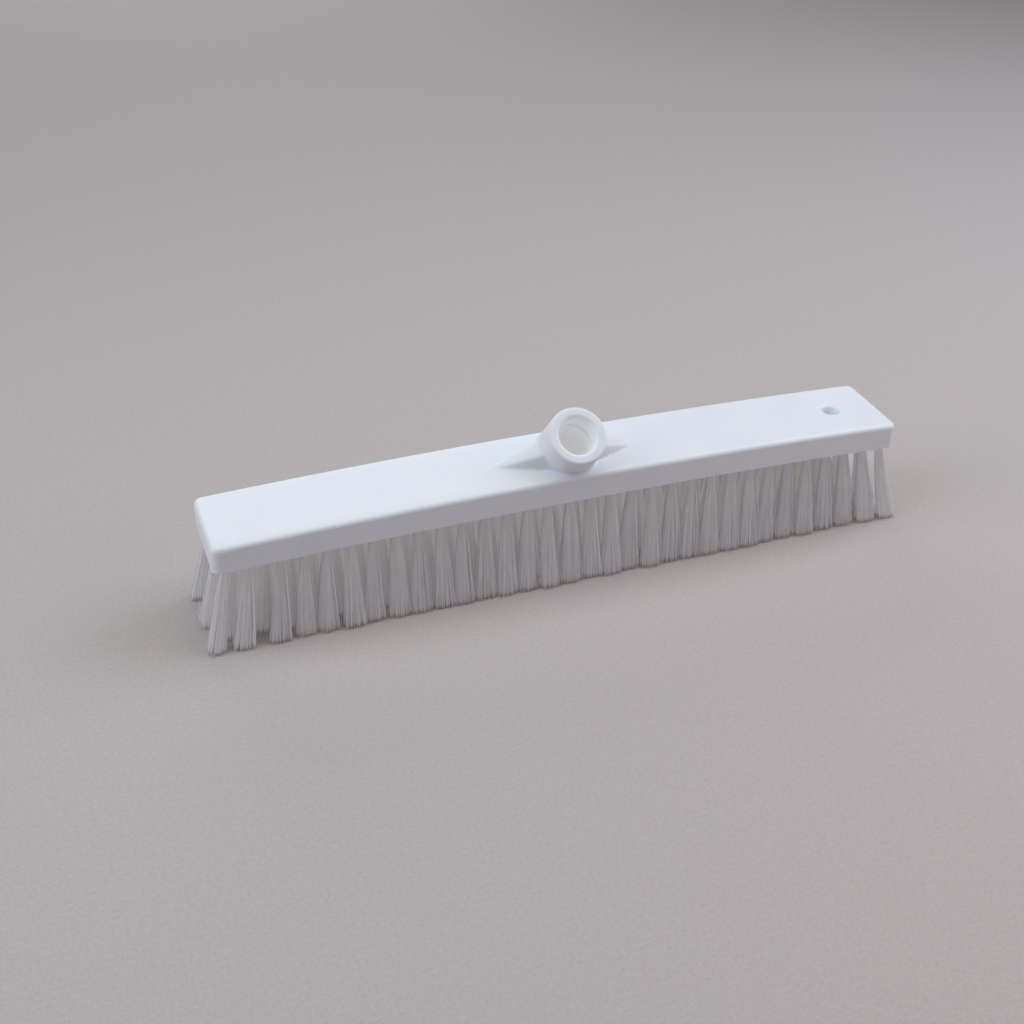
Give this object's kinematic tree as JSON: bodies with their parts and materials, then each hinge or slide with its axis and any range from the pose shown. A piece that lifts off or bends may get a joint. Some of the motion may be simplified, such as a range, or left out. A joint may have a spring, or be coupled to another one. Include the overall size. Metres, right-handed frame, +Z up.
{
  "type": "floor broom head",
  "caption": "Long arched white plastic floor broom head with rows of flared bristle tufts, a leaning handle socket with side gussets, and a hanging hole.",
  "frame": {"origin": "on the floor under the middle of the whole head's box: half way along the block, and half way from the socket's mouth to the tips of the back bristles", "axes": "+X along the block towards the hanging hole, +Y to the back, away from the side that the socket leans to, +Z up; the bristle tips are at Z = 0"},
  "size_m": [0.5188, 0.0758, 0.1263],
  "materials": {
    "white_plastic": "injection-moulded white polypropylene, satin, fine mould texture",
    "bristle_fibre": "translucent off-white polyester filament, satin"
  },
  "bodies": {
    "root": {"block": "white_plastic", "front_row_tufts_1": "bristle_fibre", "front_row_tufts_2": "bristle_fibre", "front_row_tufts_3": "bristle_fibre", "front_row_tufts_4": "bristle_fibre", "front_row_tufts_5": "bristle_fibre", "front_row_tufts_6": "bristle_fibre", "second_row_tufts_1": "bristle_fibre", "second_row_tufts_2": "bristle_fibre", "second_row_tufts_3": "bristle_fibre", "second_row_tufts_4": "bristle_fibre", "second_row_tufts_5": "bristle_fibre", "second_row_tufts_6": "bristle_fibre", "middle_row_tufts_1": "bristle_fibre", "middle_row_tufts_2": "bristle_fibre", "middle_row_tufts_3": "bristle_fibre", "middle_row_tufts_4": "bristle_fibre", "middle_row_tufts_5": "bristle_fibre", "middle_row_tufts_6": "bristle_fibre", "middle_row_tufts_7": "bristle_fibre", "fourth_row_tufts_1": "bristle_fibre", "fourth_row_tufts_2": "bristle_fibre", "fourth_row_tufts_3": "bristle_fibre", "fourth_row_tufts_4": "bristle_fibre", "fourth_row_tufts_5": "bristle_fibre", "fourth_row_tufts_6": "bristle_fibre", "back_row_tufts_1": "bristle_fibre", "back_row_tufts_2": "bristle_fibre", "back_row_tufts_3": "bristle_fibre", "back_row_tufts_4": "bristle_fibre", "back_row_tufts_5": "bristle_fibre", "back_row_tufts_6": "bristle_fibre"}
  },
  "joints": []
}
